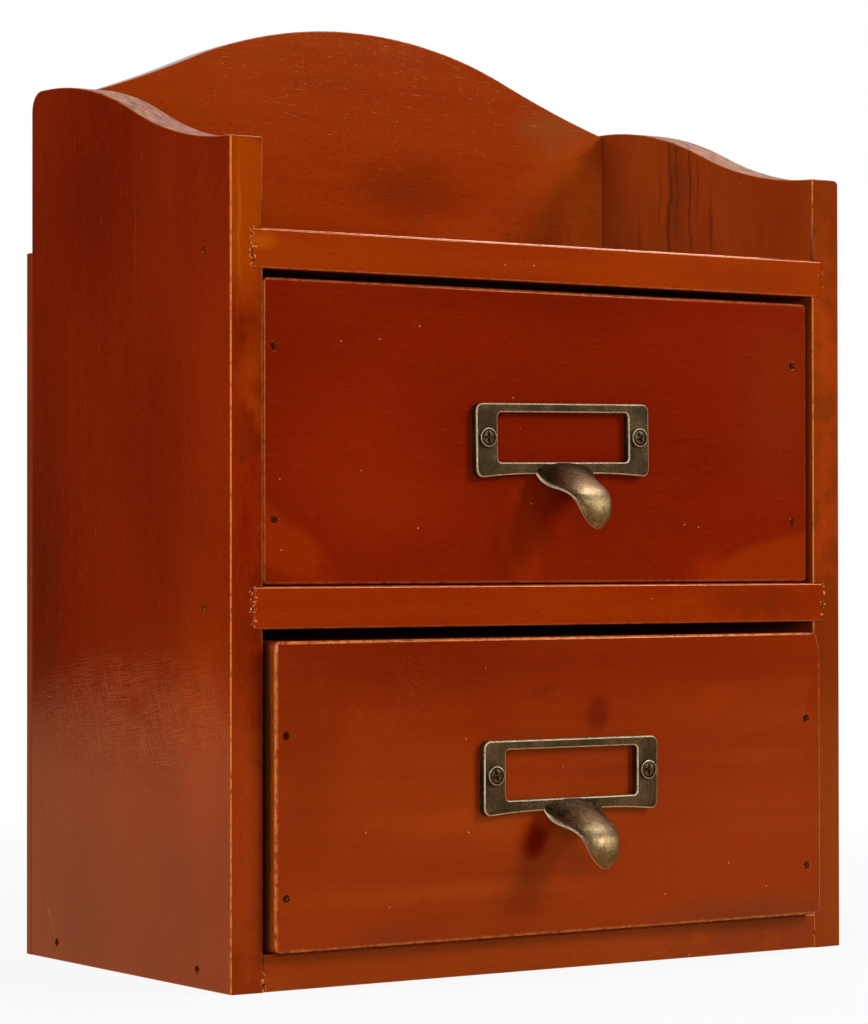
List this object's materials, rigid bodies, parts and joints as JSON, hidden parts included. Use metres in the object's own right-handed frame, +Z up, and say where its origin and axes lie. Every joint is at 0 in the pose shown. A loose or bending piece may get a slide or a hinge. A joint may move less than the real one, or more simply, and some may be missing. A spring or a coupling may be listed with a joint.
{
  "type": "desktop cabinet with drawers",
  "caption": "Small wooden desktop cabinet with sliding drawers, ogee sides, an arched gallery board round an open top tray, and cast label pulls.",
  "frame": {"origin": "centre of the case's footprint on its underside", "axes": "+X to the right seen from the front, +Y to the back, +Z up"},
  "size_m": [0.24, 0.1606, 0.3159],
  "materials": {
    "case_wood": "dark red-brown stained softwood under a worn semi-gloss varnish",
    "gallery_wood": "orange-brown stained softwood under a semi-gloss varnish",
    "upper_front_wood": "deep red stained softwood with orange flames under a gloss varnish",
    "lower_front_wood": "orange-red stained knotty softwood under a gloss varnish",
    "box_wood": "bare softwood of the drawer boxes",
    "plywood": "thin plywood, lightly stained",
    "antique_brass": "dark antique brass casting with rubbed bright edges",
    "dark_steel": "dark bronzed steel screws",
    "nail_steel": "dull steel brads and pins"
  },
  "bodies": {
    "case": {"left_side": "case_wood", "right_side": "case_wood", "top_shelf": "case_wood", "middle_shelf": "case_wood", "bottom_board": "case_wood", "gallery_board": "gallery_wood", "back_panel": "plywood", "left_side_brad_1": "nail_steel", "left_side_brad_2": "nail_steel", "left_side_brad_3": "nail_steel", "left_side_brad_4": "nail_steel", "right_side_brad_1": "nail_steel", "right_side_brad_2": "nail_steel", "right_side_brad_3": "nail_steel", "right_side_brad_4": "nail_steel", "back_pin_1": "nail_steel", "back_pin_2": "nail_steel", "back_pin_3": "nail_steel", "back_pin_4": "nail_steel", "back_pin_5": "nail_steel", "back_pin_6": "nail_steel", "back_pin_7": "nail_steel", "back_pin_8": "nail_steel", "back_pin_9": "nail_steel", "back_pin_10": "nail_steel"},
    "upper_drawer": {"upper_drawer_front": "upper_front_wood", "upper_drawer_left_side": "box_wood", "upper_drawer_right_side": "box_wood", "upper_drawer_back": "box_wood", "upper_drawer_bottom": "plywood", "upper_front_brad_1": "nail_steel", "upper_front_brad_2": "nail_steel", "upper_front_brad_3": "nail_steel", "upper_front_brad_4": "nail_steel", "upper_label_pull": "antique_brass", "upper_pull_screw_left": "dark_steel", "upper_pull_screw_right": "dark_steel"},
    "lower_drawer": {"lower_drawer_front": "lower_front_wood", "lower_drawer_left_side": "box_wood", "lower_drawer_right_side": "box_wood", "lower_drawer_back": "box_wood", "lower_drawer_bottom": "plywood", "lower_front_brad_1": "nail_steel", "lower_front_brad_2": "nail_steel", "lower_front_brad_3": "nail_steel", "lower_front_brad_4": "nail_steel", "lower_label_pull": "antique_brass", "lower_pull_screw_left": "dark_steel", "lower_pull_screw_right": "dark_steel"}
  },
  "joints": [
    {"name": "upper_drawer_slide", "type": "slide", "parent": "case", "child": "upper_drawer", "axis": [0, -1, 0], "range_m": [0, 0.1]},
    {"name": "lower_drawer_slide", "type": "slide", "parent": "case", "child": "lower_drawer", "axis": [0, -1, 0], "range_m": [-0.007, 0.1]}
  ]
}
